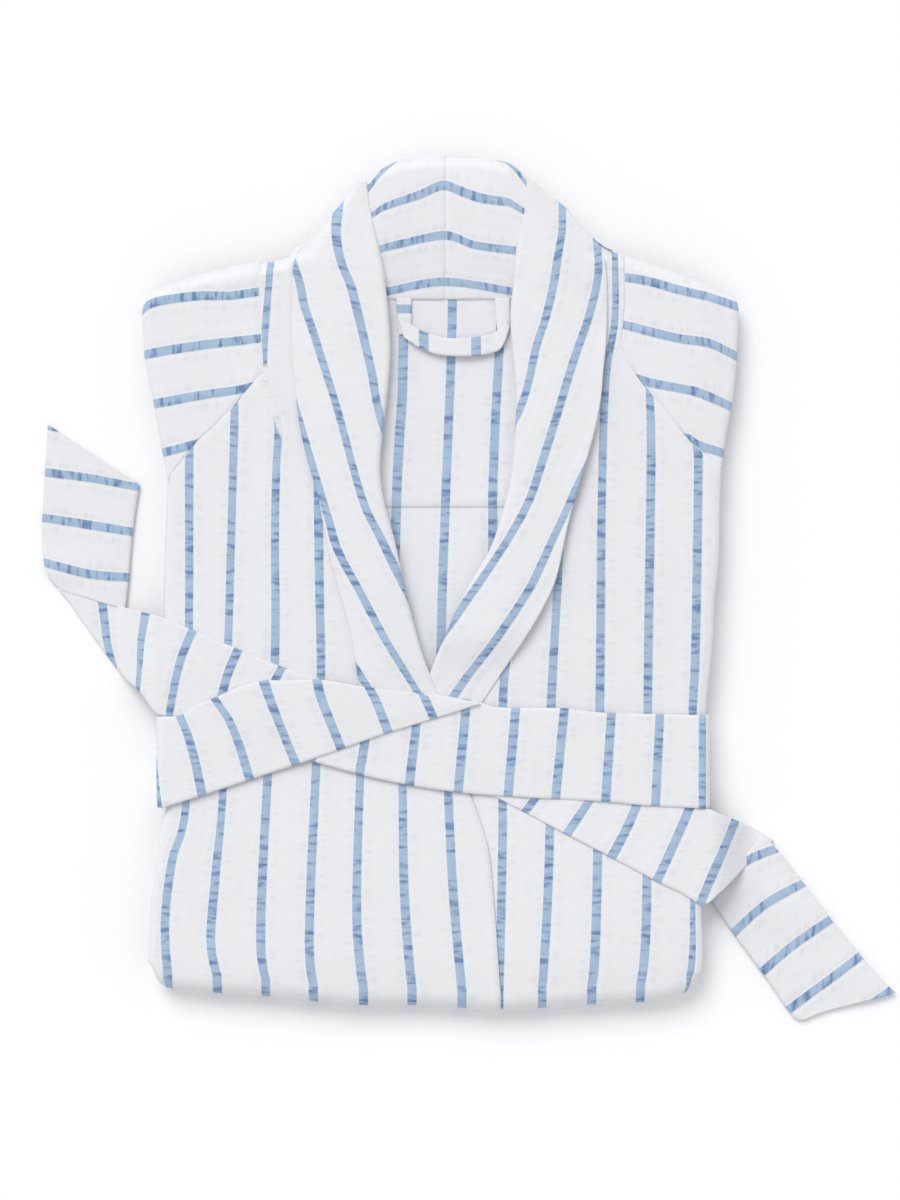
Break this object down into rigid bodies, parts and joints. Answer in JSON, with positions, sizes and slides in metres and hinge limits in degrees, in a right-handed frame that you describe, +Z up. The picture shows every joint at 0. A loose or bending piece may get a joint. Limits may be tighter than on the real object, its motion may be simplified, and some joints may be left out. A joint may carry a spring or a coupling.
{
  "type": "bathrobe",
  "caption": "Striped seersucker bathrobe with a shawl collar and a half-knotted belt, folded flat with the sleeves behind and the skirt under.",
  "frame": {"origin": "on the table under the middle of the folded body: half its width and half its length, with the robe lying face up", "axes": "+Z up off the table, +Y towards the collar, +X towards the wearer's left (the viewer's right)"},
  "size_m": [0.6109, 0.6045, 0.0264],
  "materials": {
    "body_cloth": "puckered cotton seersucker, white with narrow light blue stripes along the length",
    "sleeve_cloth": "puckered cotton seersucker, the stripes running along the arm",
    "collar_cloth": "puckered cotton seersucker, the stripes following the collar",
    "facing_cloth": "puckered cotton seersucker with one row of topstitching",
    "belt_cloth": "puckered cotton seersucker, the stripes across the belt",
    "loop_cloth": "narrow folded strip of the same seersucker"
  },
  "bodies": {
    "robe": {"right_front": "body_cloth", "left_front": "body_cloth", "back_panel": "body_cloth", "back_neck_facing": "facing_cloth", "right_sleeve": "sleeve_cloth", "left_sleeve": "sleeve_cloth", "right_upper_collar": "collar_cloth", "left_upper_collar": "collar_cloth", "right_under_collar": "collar_cloth", "left_under_collar": "collar_cloth", "belt_back_run": "belt_cloth", "belt_right_wrap": "belt_cloth", "belt_left_wrap": "belt_cloth", "belt_tuck": "belt_cloth", "right_belt_loop": "loop_cloth", "left_belt_loop": "loop_cloth"},
    "hanger": {"hanger_loop": "loop_cloth"},
    "right_tail": {"belt_right_tail": "belt_cloth"},
    "right_tail_end": {"belt_right_tail_end": "belt_cloth"},
    "left_tail": {"belt_left_tail": "belt_cloth"},
    "left_tail_end": {"belt_left_tail_end": "belt_cloth"}
  },
  "joints": [
    {"name": "hanger_turn", "type": "hinge", "parent": "robe", "child": "hanger", "pos_m": [0.0155, 0.201, 0.02095], "axis": [-1, 0, 0], "range_deg": [0, 150]},
    {"name": "right_tail_lift", "type": "hinge", "parent": "robe", "child": "right_tail", "pos_m": [-0.134, -0.07125, 0.02415], "axis": [0.9769, 0.2137, 0], "range_deg": [0, 70]},
    {"name": "right_end_fold", "type": "hinge", "parent": "right_tail", "child": "right_tail_end", "pos_m": [-0.23884, -0.01375, 0.0015], "axis": [0.9907, -0.1362, 0], "range_deg": [0, 150]},
    {"name": "left_tail_lift", "type": "hinge", "parent": "robe", "child": "left_tail", "pos_m": [0.115, -0.16125, 0.02255], "axis": [-0.9997, 0.0233, 0], "range_deg": [0, 70]},
    {"name": "left_end_fold", "type": "hinge", "parent": "left_tail", "child": "left_tail_end", "pos_m": [0.22079, -0.2005, 0.0015], "axis": [-0.6351, -0.7724, 0], "range_deg": [0, 90]}
  ]
}
